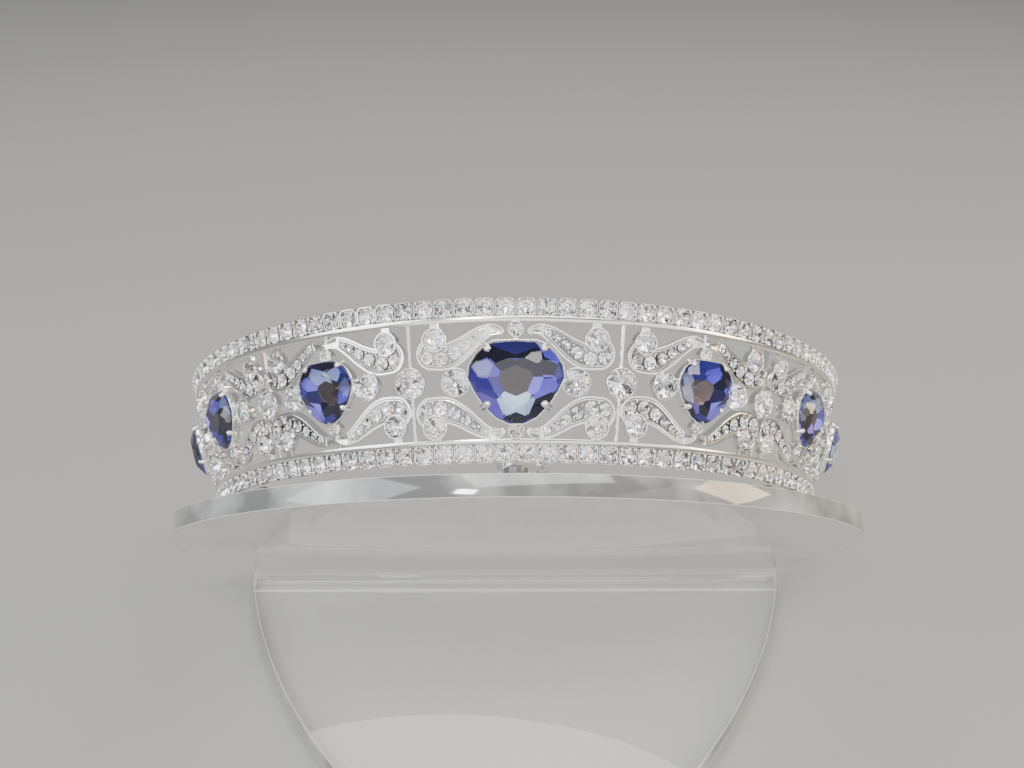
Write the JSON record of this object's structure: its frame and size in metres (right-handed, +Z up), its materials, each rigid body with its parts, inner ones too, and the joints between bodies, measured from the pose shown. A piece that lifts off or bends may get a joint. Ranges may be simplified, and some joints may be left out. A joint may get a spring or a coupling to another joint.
{
  "type": "bridal tiara on a clear display stand",
  "caption": "Bandeau tiara of openwork scrolls set with clear and blue stones, resting on the tilted disc of a bent clear display stand.",
  "frame": {"origin": "middle of the whole object's underside, on the surface that the foot rests on", "axes": "+X to the right along the width of the disc, +Y from the tiara's front towards the fold of the stand, +Z up"},
  "size_m": [0.17, 0.096, 0.1218],
  "materials": {
    "white_metal": "polished rhodium-like plating with beaded edges",
    "clear_stone": "faceted clear crystal",
    "blue_stone": "faceted blue-violet crystal",
    "clear_sheet": "polished clear acrylic sheet",
    "pad": "grey translucent bumper pad"
  },
  "bodies": {
    "root": {"tiara_frame": "white_metal", "top_row_stones": "clear_stone", "bottom_row_stones": "clear_stone", "scroll_head_stones": "clear_stone", "blue_stone_1": "blue_stone", "blue_stone_2": "blue_stone", "blue_stone_3": "blue_stone", "blue_stone_4": "blue_stone", "blue_stone_5": "blue_stone", "blue_stone_6": "blue_stone", "blue_stone_7": "blue_stone", "left_accent_stone_1": "clear_stone", "left_accent_stone_2": "clear_stone", "left_accent_stone_3": "clear_stone", "left_accent_stone_4": "clear_stone", "left_accent_stone_5": "clear_stone", "left_accent_stone_6": "clear_stone", "left_accent_stone_7": "clear_stone", "right_accent_stone_1": "clear_stone", "right_accent_stone_2": "clear_stone", "right_accent_stone_3": "clear_stone", "right_accent_stone_4": "clear_stone", "right_accent_stone_5": "clear_stone", "right_accent_stone_6": "clear_stone", "right_accent_stone_7": "clear_stone", "upper_accent_stone_1": "clear_stone", "upper_accent_stone_2": "clear_stone", "upper_accent_stone_3": "clear_stone", "upper_accent_stone_4": "clear_stone", "upper_accent_stone_5": "clear_stone", "upper_accent_stone_6": "clear_stone", "upper_accent_stone_7": "clear_stone", "lower_accent_stone_1": "clear_stone", "lower_accent_stone_2": "clear_stone", "lower_accent_stone_3": "clear_stone", "lower_accent_stone_4": "clear_stone", "lower_accent_stone_5": "clear_stone", "lower_accent_stone_6": "clear_stone", "lower_accent_stone_7": "clear_stone", "bar_stone_1": "clear_stone", "bar_stone_2": "clear_stone", "bar_stone_3": "clear_stone", "bar_stone_4": "clear_stone", "bar_stone_5": "clear_stone", "bar_stone_6": "clear_stone", "stand_sheet": "clear_sheet", "stop_block": "clear_sheet", "support_pad_1": "pad", "support_pad_2": "pad", "support_pad_3": "pad", "support_pad_4": "pad", "support_pad_5": "pad"}
  },
  "joints": []
}
